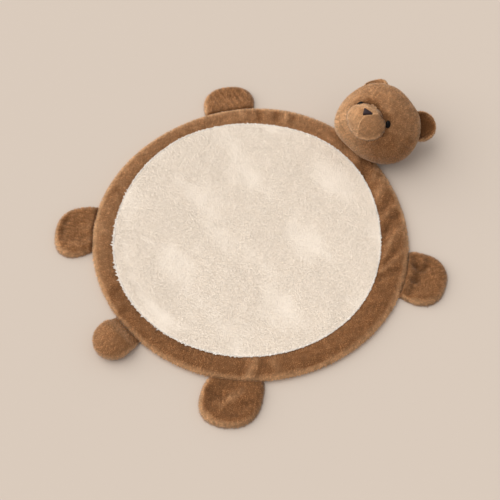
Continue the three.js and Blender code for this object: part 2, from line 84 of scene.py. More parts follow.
# Soft folds of the border: from angle1, radius1 to angle2, radius2
Fold = namedtuple("Fold", "angle1 radius1 angle2 radius2 rise width")
BORDER_FOLDS = [Fold(*row) for row in (
    (8, 336, 13, 368, -2, 11), (24.5, 335, 30, 366, -3.5, 9), (27, 333, 37, 365, 2.5, 9),
    (31, 333, 37, 356, -4, 8), (31, 328, 40, 339, 2, 8), (41.6, 323, 47, 334, -3, 8),
    (40, 332, 47, 362, 2.5, 10), (47, 328, 54.5, 364, -5, 10), (53, 330, 58, 358, 2, 11),
    (57, 330, 61.5, 358, -3.5, 10), (63, 328, 70, 362, 3, 12), (72.5, 342, 75.5, 362, 2.5, 8),
    (77, 330, 81, 352, -5, 12), (85, 338, 88, 352, 2, 12), (118, 340, 118, 368, -1.5, 9),
    (121, 338, 121, 370, 2.5, 9), (125, 346, 125.5, 368, -3, 9), (132, 342, 132.5, 372, -3.5, 9),
    (139.5, 350, 140, 368, 2, 10), (207, 346, 210, 354, -1.5, 14), (226, 345, 224, 366, 2, 12),
    (255, 343, 256, 354, -2.5, 10), (263.8, 348, 264, 362, -2.5, 11),
    (315.5, 348, 315, 368, -2.5, 9), (320.4, 338, 317.6, 374, 3.5, 12),
    (323.2, 338, 322.4, 360, -2, 8), (327, 345, 327.5, 366, 2, 12), (337, 372, 343, 376, -2, 7),
)]

# Gentle waves of the cream middle
Ripple = namedtuple("Ripple", "heading length rise start")
CREAM_RIPPLES = [Ripple(82, 150, 0.8, 20), Ripple(25, 230, 0.6, 70), Ripple(140, 185, 0.45, 5)]

# Flat paws: by the mat a paw leans along the edge by lean, and is narrower by the share narrow
Paw = namedtuple("Paw", "name angle reach wide long top dish lean narrow")
PAWS = [
    Paw("arm_left", 144, 393, 68, 66, 21, 3, 4, 0.05),
    Paw("arm_right", 29.1, 410, 72, 73, 22, 3, 5, 0.1),
    Paw("leg_left", 226, 400, 72, 66, 22, 5, -12, 0.06),
    Paw("leg_right", 311.8, 417, 71, 74, 22, 4, 8.5, 0.02),
]
PAW_SQUARE = 2.4  # 2 gives an oval outline, more a squarer one
PAW_INNER = 1.4  # from a paw's tip to the mat, in its long half sizes
# Section of a paw from its middle (0) to its outline (1): share of the top height there
PAW_SECTION = [
    (0.02, 0.98), (0.3, 0.98), (0.55, 1), (0.75, 0.99), (0.88, 0.86), (0.96, 0.62), (1, 0.3),
]
PAW_UNDER = [(0.99, 0.15), (0.965, 0.04), (0.93, 0), (0.5, 0), (0.02, 0)]  # and its underside
# Dents and creases of the paws, from (x1, y1) to (x2, y2)
Crease = namedtuple("Crease", "x1 y1 x2 y2 rise width")
PAW_CREASES = [Crease(*row) for row in (
    (324, 234, 340, 221, -4.5, 7), (340, 221, 355, 225, -4.5, 8), (355, 225, 359, 237, -3.5, 7),
    (359, 237, 345, 258, -3.5, 7), (335, 242, 341, 239, 2, 9), (355, 213, 364, 193, -5, 10),
    (364, 193, 379, 150, -4.5, 10), (337, 206, 363, 156, 2.5, 8), (-332, -275, -327, -297, -3, 8),
    (-327, -297, -312, -320, -3.5, 9), (-312, -320, -292, -332, -3, 8),
    (-258, -321, -244, -316, 2.5, 9), (-281, -277, -271, -271, 2.5, 11),
    (-274, -297, -250, -283, -1.5, 8), (-241, -340, -228, -314, -2.5, 9),
    (240, -334, 266, -327, -4.5, 11), (257, -350, 264, -360, -2.5, 11),
    (285, -342, 288, -310, 2.8, 14), (288, -310, 292, -280, 2.5, 15),
    (318, -300, 332, -280, -3, 10), (318, -345, 322, -310, -1.5, 12),
    (-345, 200, -300, 255, 1.5, 12),
)]

TAIL_MIDDLE = np.array([3, -412, 22.0])
TAIL_HALF = np.array([49.5, 49, 27.0])
TAIL_ROOT = (366, 404, 0.3)  # distances towards the tail where it is thin and full, thin share
TAIL_STRETCH = 1.7  # how much longer its inner half is
TAIL_LEAN = -4  # how far its root lies to the left

# The head in its own axes: side, crown and face
HEAD_MIDDLE = np.array([21, 426, 80.0])
HEAD_HALF = np.array([108, 94, 85.0])
FACE_RISE = 75
FACE_HEADING = -75
SIDE_DIP = -4
Form = namedtuple("Form", "side crown face rise spread")
HEAD_FORMS = [Form(*row) for row in (
    (0, 0.12, 1, -6, 15), (0.55, -0.12, 0.85, -3, 9), (-0.55, -0.12, 0.85, -3, 9),
    (0, 0.75, 0.6, 3, 30), (0.85, -0.4, 0.15, 6.5, 32), (-0.65, -0.74, 0.12, 12, 25),
    (-0.95, 0.1, 0.28, -5, 30), (0.08, 1, 0.05, -4.5, 26),
)]
MUZZLE_MIDDLE = np.array([0, -40, 68.0])
MUZZLE_HALF = np.array([52, 40, 46.0])
MUZZLE_FILL = 5
# Seams of the muzzle, through points in the head's axes
CENTRE_SEAM = [
    (1, -40, 114.5), (3.5, -52.5, 111.5), (4.5, -62.5, 106), (7.5, -71, 96), (9.5, -76.5, 84),
    (7, -79, 62),
]
SIDE_SEAM = [
    (3, -46, 113.5), (8, -37.5, 113.5), (13.4, -30, 111), (14.4, -22, 107), (17.7, -14.8, 100),
    (21, -9, 92),
]
MUZZLE_DENT = [(23, -9, 88), (27, -10, 86)]
MUZZLE_TOP = [(-40, -24, 92), (-20, -12, 97), (-5, -6, 94)]
BROW_GROOVE = [(-33, -4.5, 81), (-16, 0, 84), (2.5, -1.5, 85), (20.5, -3.3, 83.5), (31, -3, 81.5)]
CHEEK_GROOVE = [(60, -28, 63), (54, -40, 66)]

Eye = namedtuple("Eye", "name side crown")
EYES = [Eye("eye_left", -44.1, -19.2), Eye("eye_right", 47.4, -13)]
EYE_HALF = np.array([6.4, 9.4, 5.0])
EYE_SINK, EYE_LEAN = 2.5, 42

NOSE_RADIUS, NOSE_SHARP, NOSE_WIDEN = 6.1, 4, 1.34
NOSE_TIP_ASIDE = 0.42  # how far its lower corner lies to the left, as a share of its height
NOSE_RISE, NOSE_ASIDE, NOSE_ROLL, NOSE_THICK = 5.9, 2.1, -8, 4.5
NOSE_SECTION = [
    (0.02, 1), (0.45, 0.95), (0.8, 0.7), (1, 0.15), (0.95, -0.5), (0.9, -1), (0.02, -1),
]
THREAD_WIDTH = 1.1  # rows of satin stitch on the nose

# Ears: curl is the radius to which the sides bend, dark how much painted shade lies in the hollow,
# which is painted light where it is below zero
Ear = namedtuple("Ear", "name side crown face curl dark")
EARS = [Ear("ear_left", -70.5, 62, -27, 36, -0.9), Ear("ear_right", 73, 67, -27, 110, 1)]
EAR_RADIUS, EAR_TURN = 41, 12
EAR_SECTION = [
    (0.02, -3), (0.35, -1.5), (0.62, 1.5), (0.82, 6), (0.94, 7.5), (1, 3.5),
    (0.95, -2.5), (0.78, -7), (0.45, -10.5), (0.02, -12),
]

# Pile of each cloth: length, how far apart the tufts stand, half width at the root, how far a
# tuft leans for each millimetre that it rises, how unevenly one by one and in patches, and how
# strongly its small clumps show
Pile = namedtuple("Pile", "length apart width lean stray patch grain")
CREAM_PILE = Pile(4.2, 2.86, 1.55, 0.5, 0.28, 0.12, 0.3)
BORDER_PILE = Pile(4.6, 2.6, 1.5, 0.45, 0.5, 0.35, 0.45)
HEAD_PILE = Pile(4.4, 2.5, 1.35, 0.8, 0.4, 0.35, 0.5)
MUZZLE_PILE = Pile(3.2, 2.1, 1.1, 0.7, 0.35, 0.35, 0.4)
EAR_PILE = Pile(3.4, 2.3, 1.2, 0.5, 0.5, 0.4, 0.5)
PAW_PILE = Pile(4.4, 2.5, 1.45, 0.5, 0.5, 0.35, 0.55)
SOFTNESS = 0.45  # share of the cloth's own direction in how a tuft catches the light

# Lengths over which the pile's lie turns: broadly, finely, and in small clumps
SWIRL, FLICK, CLUMP = 38, 11, 8

# Sides of the head and muzzle painted lighter, facing the window light (painted light), and
# painted darker, turned away from it (painted shade)
LIT_SIDE = np.array([-0.65, -0.76, 0.0])
SHADE_SIDE = np.array([0.76, -0.65, 0.0])

# Way round the mat towards which the paws' lighter outlines are painted strongest: painted sheen
SHEEN_WAY = math.radians(270)

# Way in which the nap of the mat lies
NAP = np.array([0.55, -0.8, 0.0])

# How finely each form is divided: rings or steps along it, and points round it
BORDER_STEPS, BORDER_POINTS = 5, 760
CENTRE_RINGS, CENTRE_POINTS = 50, 540
HEAD_GRID = 150, 240
MUZZLE_GRID = 110, 200
EYE_GRID = 40, 60
NOSE_STEPS, NOSE_POINTS = 7, 120
EAR_STEPS, EAR_POINTS = 8, 150
PAW_STEPS, PAW_POINTS = 7, 200
TAIL_GRID = 80, 150

# Ragged edge of the cream pile: clumps round it, tufts in each outer row and how far in these lie
CLUMPS = 214
FRINGE_TUFTS = 1600
FRINGE_INSETS = 0.8, 2.4


def rad(degrees):
    return degrees * math.pi / 180


def unit(v):
    return v / np.maximum(np.linalg.norm(v, axis=-1, keepdims=True), 1e-9)


def smoothstep(x, low, high):
    t = np.clip((x - low) / (high - low), 0, 1)
    return t * t * (3 - 2 * t)


def bell(x, width):
    """From 0 to 1: a soft hump round 0."""
    return np.exp(-((x / width) ** 2))


def edge_radius(radius, waves, angle):
    """Radius of a wavy round edge at an angle."""
    return radius + sum(w.swing * np.cos(w.order * angle - rad(w.peak)) for w in waves)


def sizes():
    return bpy.context.scene.bear_rug


def around_angles(points):
    return np.arange(points) * TURN / points


def mat_edge(angle):
    return edge_radius(sizes().mat_radius / MM, MAT_WAVES, angle)


def cream_edge(angle):
    return edge_radius(sizes().cream_radius / MM, CREAM_WAVES, angle)


def near_line(p, a, b):
    """Distance of each point from a straight line between a and b."""
    a, b = np.asarray(a, float), np.asarray(b, float)
    d = b - a
    t = np.clip(((p - a) @ d) / (d @ d), 0, 1)
    return np.linalg.norm(p - a - t[..., None] * d, axis=-1)


def near_path(p, points):
    return np.min([near_line(p, a, b) for a, b in zip(points, points[1:])], axis=0)


def relief(creases, p):
    """Height that ridges and valleys add at each point."""
    rise = np.zeros(p.shape[:-1])
    for c in creases:
        away = near_line(p[..., :2], (c.x1, c.y1), (c.x2, c.y2))
        rise += c.rise * bell(away, c.width)
    return rise


def round_mat(p):
    """Angle and radius of each point about the middle of the mat."""
    return np.arctan2(p[..., 1], p[..., 0]), np.hypot(p[..., 0], p[..., 1])


def polar(angle, radius):
    return radius * math.cos(rad(angle)), radius * math.sin(rad(angle))


def round_points(radius, angle, z):
    """Points at radii, angles and heights about the middle of the mat."""
    x, y = radius * np.cos(angle), radius * np.sin(angle)
    return np.stack([x, y, np.broadcast_to(z, x.shape)], -1)


FOLD_LINES = [
    Crease(*polar(f.angle1, f.radius1), *polar(f.angle2, f.radius2), f.rise, f.width)
    for f in BORDER_FOLDS
]


def waviness(p, length, seed, count=7):
    """Smooth unevenness from -1 to 1, with waves of about this length."""
    rng = np.random.default_rng(seed)
    total = np.zeros(p.shape[:-1])
    for _ in range(count):
        way = unit(rng.normal(size=p.shape[-1]))
        total += np.sin((p @ way) * TURN / (length * rng.uniform(0.7, 1.5)) + rng.uniform(0, TURN))
    return total / math.sqrt(count) / 1.4


def cream_height(p):
    z = np.full(p.shape[:-1], CREAM_TOP)
    for r in CREAM_RIPPLES:
        along = p[..., 0] * math.cos(rad(r.heading)) + p[..., 1] * math.sin(rad(r.heading))
        z = z + r.rise * np.sin(TURN * along / r.length + rad(r.start))
    return z


def curve_through(points, steps):
    """Smooth curve through the points, with so many steps between each two."""
    p = np.array(points, float)
    p = np.vstack([2 * p[0] - p[1], p, 2 * p[-1] - p[-2]])
    t = np.linspace(0, 1, steps, endpoint=False)[:, None]
    found = []
    for a, b, c, d in zip(p, p[1:], p[2:], p[3:]):
        found.append(
            0.5 * (2 * b + (c - a) * t + (2 * a - 5 * b + 4 * c - d) * t**2
                   + (3 * b - 3 * c + d - a) * t**3)
        )
    return np.vstack([*found, p[-2:-1]])


def grid_normals(p):
    """Outward directions of a grid of points whose rings run from the middle of its top."""
    along = np.gradient(p, axis=0)
    around = np.roll(p, -1, axis=1) - np.roll(p, 1, axis=1)
    return unit(np.cross(along, around))


def shell_faces(rings, points):
    """Faces of a closed form over rings of points, then the middles of its two ends."""
    k, j = np.meshgrid(np.arange(rings - 1), np.arange(points), indexing="ij")
    n = (j + 1) % points
    here, next_ring = k * points, (k + 1) * points
    quads = np.stack([here + j, next_ring + j, next_ring + n, here + n], -1)
    j, n = j[0], n[0]
    low, ends = (rings - 1) * points, rings * points
    caps = np.vstack([
        np.stack([np.full(points, ends), j, n], 1),
        np.stack([low + j, np.full(points, ends + 1), low + n], 1),
    ])
    return [quads.reshape(-1, 4), caps]


# Axes of the head in the rug's frame
FACE = np.array([*polar(FACE_HEADING, math.cos(rad(FACE_RISE))), math.sin(rad(FACE_RISE))])
SIDE = np.array([math.cos(rad(SIDE_DIP)), 0, math.sin(rad(SIDE_DIP))])
SIDE = unit(SIDE - (SIDE @ FACE) * FACE)
CROWN = np.cross(FACE, SIDE)
HEAD_AXES = np.array([SIDE, CROWN, FACE])


def from_head(p):
    return p @ HEAD_AXES + HEAD_MIDDLE


def to_head(p):
    return (p - HEAD_MIDDLE) @ HEAD_AXES.T


def oval_reach(half, d):
    return 1 / np.linalg.norm(d / half, axis=-1)


def head_reach(d):
    """Distance from the middle of the head to its surface along unit directions."""
    reach = oval_reach(HEAD_HALF, d)
    for f in HEAD_FORMS:
        turned = np.arccos(np.clip(d @ unit(np.array([f.side, f.crown, f.face])), -1, 1))
        reach = reach + f.rise * bell(turned, rad(f.spread))
    return reach


def muzzle_reach(d):
    return oval_reach(MUZZLE_HALF, d)


def outside(reach, p):
    """How far points lie outside a form with this reach from its middle."""
    return np.linalg.norm(p, axis=-1) - reach(unit(p))


def outside_muzzle(p):
    return outside(muzzle_reach, p - MUZZLE_MIDDLE)


def filled_reach(d):
    """Reach of the head with the soft filling between it and the lower side of the muzzle."""
    reach = head_reach(d)
    local = d * reach[..., None]
    lower = 1 - smoothstep(local[..., 1], -55, -25)
    return reach + MUZZLE_FILL * lower * bell(outside_muzzle(local), 10)


def sphere_directions(rings, points):
    """Rings of unit directions from +z to -z."""
    down = np.linspace(0.004, math.pi - 0.004, rings)[:, None]
    return round_points(np.sin(down), around_angles(points), np.cos(down))


def border_height(p):
    """Height of the border's outer slope at each point, or nothing outside the mat."""
    angle, r = round_mat(p)
    inner, outer = cream_edge(angle), mat_edge(angle)
    across = (r - inner) / (outer - inner)
    section = curve_through(BORDER_SECTION, 12)
    z = np.interp(across, section[:, 0], section[:, 1])
    z = z + relief(FOLD_LINES, p) * np.clip((1 - across) * 4, 0, 1)
    return np.where(across < 1, z, 0.0)


def add_object(name, data):
    found = bpy.data.objects.new(name, data)
    bpy.context.scene.collection.objects.link(found)
    return found


def sew_mesh(name, points, faces, colour=None, uv=None):
    """Mesh object from points in millimetres and lists of faces with equal corner counts."""
    mesh = bpy.data.meshes.new(name)
    mesh.vertices.add(len(points))
    mesh.vertices.foreach_set("co", (np.asarray(points, float) * MM).astype(np.float32).ravel())
    corners = np.concatenate([f.ravel() for f in faces]).astype(np.int32)
    counts = np.concatenate([np.full(len(f), f.shape[1]) for f in faces]).astype(np.int32)
    starts = np.concatenate([[0], np.cumsum(counts)[:-1]]).astype(np.int32)
    mesh.loops.add(len(corners))
    mesh.loops.foreach_set("vertex_index", corners)
    mesh.polygons.add(len(counts))
    mesh.polygons.foreach_set("loop_start", starts)
    mesh.polygons.foreach_set("use_smooth", np.ones(len(counts), bool))
    mesh.update(calc_edges=True)
    if uv is not None:
        layer = mesh.uv_layers.new(name="OFBake")
        layer.data.foreach_set("uv", uv.astype(np.float32).ravel())
    if colour is not None:
        layer = mesh.color_attributes.new("pile", "FLOAT_COLOR", "POINT")
        filled = np.column_stack([colour, np.ones(len(colour))]).astype(np.float32)
        layer.data.foreach_set("color", filled.ravel())
    mesh.validate(clean_customdata=False)
    return add_object(name, mesh)


Cloth = namedtuple("Cloth", "points normals rim")  # grids of the pile's tips, their normals, and their tone with painted light and painted shade


def backing(cloth, length):
    """The woven side that the pile grows from: the tips moved in, less so on the underside."""
    depth = length * np.clip((cloth.normals[..., 2] + 0.75) / 0.5, 0, 1)
    return cloth.points - cloth.normals * depth[..., None]


def scatter(cloth, base, apart, rng, keep):
    """Roots of tufts spread evenly by area, in a spiral: places, directions, and tone with painted
    light and shade.
    """
    a, b = base[:-1], np.roll(base, -1, axis=1)[:-1]
    c, d = np.roll(base, -1, axis=1)[1:], base[1:]
    area = np.linalg.norm(np.cross(c - a, d - b), axis=-1) / 2
    area = np.where(keep((a + b + c + d) / 4), area, 0)
    area = np.maximum(area, 1e-9)
    bands = np.concatenate([[0], np.cumsum(area.sum(1))])
    count = int(bands[-1] / apart**2)
    spot = (np.arange(count) + 0.5) * bands[-1] / count
    k = np.minimum(np.searchsorted(bands, spot, side="right") - 1, len(area) - 1)
    v = ((spot - bands[k]) / (bands[k + 1] - bands[k]))[:, None]
    share = np.cumsum(area, axis=1) / area.sum(1, keepdims=True)
    ends = (share + np.arange(len(area))[:, None]).ravel()
    turn = (np.arange(count) * GOLDEN) % 1
    cell = np.searchsorted(ends, k + turn * 0.999999)
    j = np.minimum(cell - k * area.shape[1], area.shape[1] - 1)
    n = (j + 1) % base.shape[1]
    before = np.where(j > 0, share[k, j - 1], 0)
    u = np.clip((turn - before) / np.maximum(share[k, j] - before, 1e-12), 0, 1)[:, None]

    def within(grid):
        grid = grid.reshape(*grid.shape[:2], -1)
        return (grid[k, j] * (1 - u) + grid[k, n] * u) * (1 - v) + (
            grid[k + 1, j] * (1 - u) + grid[k + 1, n] * u
        ) * v

    out = unit(within(cloth.normals))
    root = within(base)
    stir = rng.normal(0, 0.22 * apart, (count, 3))
    root = root + stir - (stir * out).sum(1, keepdims=True) * out
    return root, out, within(cloth.rim)[:, 0]


def plush(name, cloth, pile, seed, keep, nap=NAP, shell=None, lift=None, extra=None):
    """Backing and tufts as one mesh. Each tuft is a closed spike with three sides. A shell of
    its own is a grid, its painted light and tone, and the middles of its ends."""
    rng = np.random.default_rng(seed)
    skin = backing(cloth, pile.length)
    root, out, rim = scatter(cloth, skin, pile.apart, rng, keep)
    if extra is not None:
        root, out, rim = (np.concatenate(both) for both in zip((root, out, rim), extra))
    count = len(root)
    swirl = np.stack([waviness(root, SWIRL, seed + i) for i in range(3)], -1)
    fine = np.stack([waviness(root, FLICK, seed + 5 + i) for i in range(3)], -1)
    way = nap + pile.patch * (swirl + 0.7 * fine) + rng.normal(0, pile.stray, (count, 3))
    way -= (way * out).sum(1, keepdims=True) * out
    lie = unit(nap)
    clump = waviness(root - 0.55 * (root @ lie)[:, None] * lie, CLUMP, seed + 9, 12)
    tall = pile.length * (rng.uniform(0.8, 1.08, count) + 0.25 * pile.grain * clump)[:, None]
    tip = root + out * tall + way * pile.lean * tall
    if lift is not None:
        tip = lift(root, tip)
    tip[:, 2] = np.maximum(tip[:, 2], TIP_REST)
    first = unit(np.cross(out, rng.normal(size=(count, 3))))
    second = np.cross(out, first)
    wide = pile.width * rng.uniform(0.75, 1.2, (count, 1))
    spread = [math.cos(turn) * first + math.sin(turn) * second for turn in around_angles(3)]
    feet = [root + wide * aside - 0.4 * out for aside in spread]
    tufts = np.stack([*feet, tip], 1)
    tufts[..., 2] = np.maximum(tufts[..., 2], ROOT_REST)
    foot_normals = [unit(out * SOFTNESS + unit(f - root) * (1 - SOFTNESS)) for f in feet]
    tip_normal = unit(out + 0.35 * unit(way))
    tuft_normals = np.stack([*foot_normals, tip_normal], 1)
    # Blue channel: random tone and clumps, darkened where the channel carries painted shade
    tone_and_shade = 0.5 + 0.3 * rng.uniform(-1, 1, count) + pile.grain * clump
    tone_and_shade = np.clip(tone_and_shade + 0.5 * np.minimum(rim, 0), 0, 1)
    tuft_colour = np.zeros((count, 4, 3))
    # Where painted shade lies the tips take the root colour; the green channel carries painted
    # light
    tuft_colour[:, 3, 0] = 1 + 0.85 * np.minimum(rim, 0)
    tuft_colour[..., 1] = np.maximum(rim, 0)[:, None]
    tuft_colour[..., 2] = tone_and_shade[:, None]
    grid, grid_painted_light_and_tone, ends = shell or (skin, cloth.rim, (skin[0].mean(0), skin[-1].mean(0)))
    rings, points = grid.shape[:2]
    body = np.vstack([grid.reshape(-1, 3), ends])
    # The backing carries the same painted light and painted shade
    body_colour = np.zeros((len(body), 3))
    body_colour[:, 2] = 0.5
    body_colour[:-2, 1] = np.maximum(grid_painted_light_and_tone, 0).ravel()
    body_colour[:-2, 2] += 0.5 * np.minimum(grid_painted_light_and_tone, 0).ravel()
    corner = np.array([[0, 1, 3], [1, 2, 3], [2, 0, 3], [0, 2, 1]])
    spikes = corner[None] + (np.arange(count) * 4 + len(body))[:, None, None]
    piece = sew_mesh(
        name,
        np.vstack([body, tufts.reshape(-1, 3)]),
        [*shell_faces(rings, points), spikes.reshape(-1, 3)],
        np.vstack([body_colour, tuft_colour.reshape(-1, 3)]),
        bake_map(rings, points, count),
    )
    own = np.empty(len(piece.data.vertices) * 3, np.float32)
    piece.data.vertex_normals.foreach_get("vector", own)
    normals = np.vstack([own.reshape(-1, 3)[: len(body)], tuft_normals.reshape(-1, 3)])
    piece.data.normals_split_custom_set_from_vertices(normals.astype(np.float32))
    return piece


def bake_map(rings, points, count):
    """Map for baking: the backing fills a strip on the left, and each tuft has a cell of its
    own to the right of it, on which its three sides lie together."""
    strip = 0.16  # share of the map's width
    across = strip * 0.96 * np.arange(points + 1) / points
    down = np.linspace(0.02, 0.98, rings)
    k, j = np.meshgrid(np.arange(rings - 1), np.arange(points), indexing="ij")
    k, j = k.ravel(), j.ravel()
    steps = ((0, 0), (0, 1), (1, 1), (1, 0))
    quads = np.stack([np.stack([across[j + s], down[k + t]], -1) for s, t in steps], 1)
    left, right = across[:-1], across[1:]
    ends = []
    for near, far in ((0.0, 0.02), (1.0, 0.98)):
        middle, one, two = (
            np.stack([at, np.full(points, level)], -1)
            for at, level in ((left + across[1] / 2, near), (left, far), (right, far))
        )
        ends.append(np.stack([one, middle, two] if near else [middle, one, two], 1))
    side = math.ceil(math.sqrt(count))
    at = np.arange(count)
    cell = (1 - strip) / side
    corner = np.stack([strip + (at % side) * cell, (at // side) / side], -1)
    size = np.array([cell, 1 / side])
    low, high, peak, under = np.array([(0.1, 0.1), (0.9, 0.1), (0.5, 0.9), (0.5, 0.02)])
    sides = [corner + size * x for x in (low, high, peak)]
    foot = [corner + size * x for x in (low, under, high)]
    tufts = np.stack([np.stack(sides, 1)] * 3 + [np.stack(foot, 1)], 1)
    return np.concatenate([part.reshape(-1, 2) for part in (quads, *ends, tufts)])


FINE_MOTTLE = [(24, 0.3), (90, 0.5), (260, 0.6)]  # scale and strength of the cloth's unevenness


def surface(name, roughness, gloss):
    """New material, with its shader and its tree of nodes."""
    mat = bpy.data.materials.new(name)
    mat.use_nodes = True
    shader = mat.node_tree.nodes["Principled BSDF"]
    shader.inputs["Roughness"].default_value = roughness
    shader.inputs["Specular IOR Level"].default_value = gloss
    return mat, shader, mat.node_tree


def add_noise(tree, place, scale, detail=2):
    node = tree.nodes.new("ShaderNodeTexNoise")
    node.inputs["Scale"].default_value = scale
    node.inputs["Detail"].default_value = detail
    tree.links.new(place.outputs["Object"], node.inputs["Vector"])
    return node.outputs["Fac"]


def add_ramp(tree, source, low, high):
    """Colour that runs between two stops, each a position and a colour."""
    node = tree.nodes.new("ShaderNodeValToRGB")
    tree.links.new(source, node.inputs["Fac"])
    for stop, (spot, colour) in zip(node.color_ramp.elements, (low, high)):
        stop.position, stop.color = spot, (*colour, 1)
    return node.outputs["Color"]


def add_bump(tree, shader, height, strength, distance):
    node = tree.nodes.new("ShaderNodeBump")
    node.inputs["Strength"].default_value = strength
    node.inputs["Distance"].default_value = distance
    tree.links.new(height, node.inputs["Height"])
    tree.links.new(node.outputs["Normal"], shader.inputs["Normal"])


def plush_material(name, root, tip, light, sheen, sheen_tint, mottle):
    """Cloth with a short pile: roots darker than tips as painted shade within the pile. The green
    channel mixes in a light colour as painted light and sheen, the blue one darkens as random tone
    and painted shade.
    """
    mat, shader, tree = surface(name, 0.95, 0.12)
    pile = tree.nodes.new("ShaderNodeAttribute")
    pile.attribute_name = "pile"
    parts = tree.nodes.new("ShaderNodeSeparateColor")
    tree.links.new(pile.outputs["Color"], parts.inputs["Color"])
    place = tree.nodes.new("ShaderNodeTexCoord")

    def mix(kind, factor, a, b):
        node = tree.nodes.new("ShaderNodeMix")
        node.data_type = "RGBA"
        node.blend_type = kind
        for index, value in ((0, factor), (6, a), (7, b)):  # the sockets for colours
            if hasattr(value, "is_linked"):
                tree.links.new(value, node.inputs[index])
            else:
                node.inputs[index].default_value = value
        return node.outputs[2]

    # Roots darker than tips: painted shade within the pile
    colour = mix("MIX", parts.outputs["Red"], (*root, 1), (*tip, 1))
    # Green channel: painted light and sheen, with the muzzle's paler tone
    colour = mix("MIX", parts.outputs["Green"], colour, (*light, 1))
    # Blue channel: random tone and clumps, with painted shade
    uneven = [(parts.outputs["Blue"], 0, 1, 2.3)]
    for scale, amount in FINE_MOTTLE:
        uneven.append((add_noise(tree, place, scale), 0.32, 0.68, amount))
    for source, low, high, amount in uneven:
        dark, pale = [1 - mottle * amount] * 3, [1 + mottle * amount] * 3
        colour = mix("MULTIPLY", 1.0, colour, add_ramp(tree, source, (low, dark), (high, pale)))
    tree.links.new(colour, shader.inputs["Base Color"])
    shader.inputs["Sheen Weight"].default_value = sheen
    shader.inputs["Sheen Roughness"].default_value = 0.45
    shader.inputs["Sheen Tint"].default_value = (*sheen_tint, 1)
    add_bump(tree, shader, add_noise(tree, place, 900), 0.35, 0.0006)
    return mat


def smooth_material(name, colour, dark, pale, scale, roughness, gloss, relief=0):
    """Smooth hard or satin surface, with a colour that varies finely from dark to pale."""
    mat, shader, tree = surface(name, roughness, gloss)
    place = tree.nodes.new("ShaderNodeTexCoord")
    noise = add_noise(tree, place, scale, 3 if relief else 2)
    dark, pale = ([c * share for c in colour] for share in (dark, pale))
    tree.links.new(add_ramp(tree, noise, (0, dark), (1, pale)), shader.inputs["Base Color"])
    if relief:
        add_bump(tree, shader, noise, 0.3, relief)
    return mat


def shared_material(kind):
    """One of the materials, made once."""
    found = bpy.data.materials.get(kind)
    if found is not None:
        return found
    look = sizes()
    tan, milk = (1, 0.84, 0.7), (1, 0.95, 0.88)
    plushes = {
        "brown_pile": (look.brown_root, look.brown_tip, look.brown_pale_and_lit, 0.5, tan, 0.14),
        "cream_pile": (look.cream_root, look.cream_tip, look.cream_painted_light, 0.2, milk, 0.03),
        # Ears take darker roots: painted shade in their hollows
        "ear_pile": (look.ear_shaded_root, look.brown_tip, look.brown_pale_and_lit, 0.3, tan, 0.14),
    }
    others = {
        "eye_bead": (look.eye_colour, 1, 1.8, 160, 0.25, 0.08),
        "nose_satin": (look.nose_colour, 0.6, 1.5, 500, 0.55, 0.3, 0.0003),
    }
    if kind in plushes:
        return plush_material(kind, *plushes[kind])
    return smooth_material(kind, *others[kind])


def finish_piece(piece, material, slot, *nodes):
    piece.data.materials.append(shared_material(material))
    if nodes:
        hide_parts(*nodes)
    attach(piece, "root")


# Pieces


def make_border():
    angle = around_angles(BORDER_POINTS)
    section = curve_through(BORDER_SECTION, BORDER_STEPS)
    inner = cream_edge(angle) + GAP
    width = mat_edge(angle) - inner
    p = round_points(inner + section[:, :1] * width, angle, section[:, 1:])
    fade = np.minimum(1, (1 - section[:, :1]) * 4)
    p[..., 2] += relief(FOLD_LINES, p) * fade
    p[..., 2] += 0.5 * waviness(p[..., :2], 30, 3) * fade
    normals = grid_normals(p)
    # Painted sheen: the outer slope of the border painted lighter where the pile turns over it
    rim = smoothstep(section[:, :1], 0.68, 1.02) * 0.6
    # Random tone, and the folds' ridges painted lighter and their valleys darker: painted
    # highlight and painted shade
    rim = rim + 0.06 * waviness(p[..., :2], 24, 9) + 0.08 * relief(FOLD_LINES, p)
    # Painted light: the side of the border towards the window light painted lighter
    rim = rim + 0.22 * smoothstep(np.cos(angle - rad(165)), -0.3, 0.6)
    cloth = Cloth(p, normals, np.clip(rim, -1, 1))
    skin = backing(cloth, BORDER_PILE.length)

    def flat(radius, z):
        return round_points(radius, angle, z)

    seam = round_mat(skin[-1])[1]
    skin[0] = flat(inner, RECESS_LIP)
    grid = np.stack([
        flat(inner * 0.6, RECESS_FLOOR), flat(inner, RECESS_FLOOR), *skin,
        flat(seam - 1.2, SEAM_HEIGHT * 0.55), flat(seam - 3, SEAM_HEIGHT * 0.2),
        flat(seam - 5, 0), flat(seam * 0.6, 0),
    ])
    plain = np.zeros((2, BORDER_POINTS))
    grid_painted_light_and_tone = np.vstack([plain, rim, rim[-1:], rim[-1:], plain])
    ends = np.array([[0, 0, RECESS_FLOOR], [0, 0, 0]])

    def keep(q):
        turn, span = round_mat(q)
        return (span - cream_edge(turn) > 3) & (outside(head_reach, to_head(q)) >= -3)

    piece = plush("rug_border", cloth, BORDER_PILE, 11, keep, shell=(grid, grid_painted_light_and_tone, ends))
    finish_piece(piece, "brown_pile", "brown_plush", "mat_body")


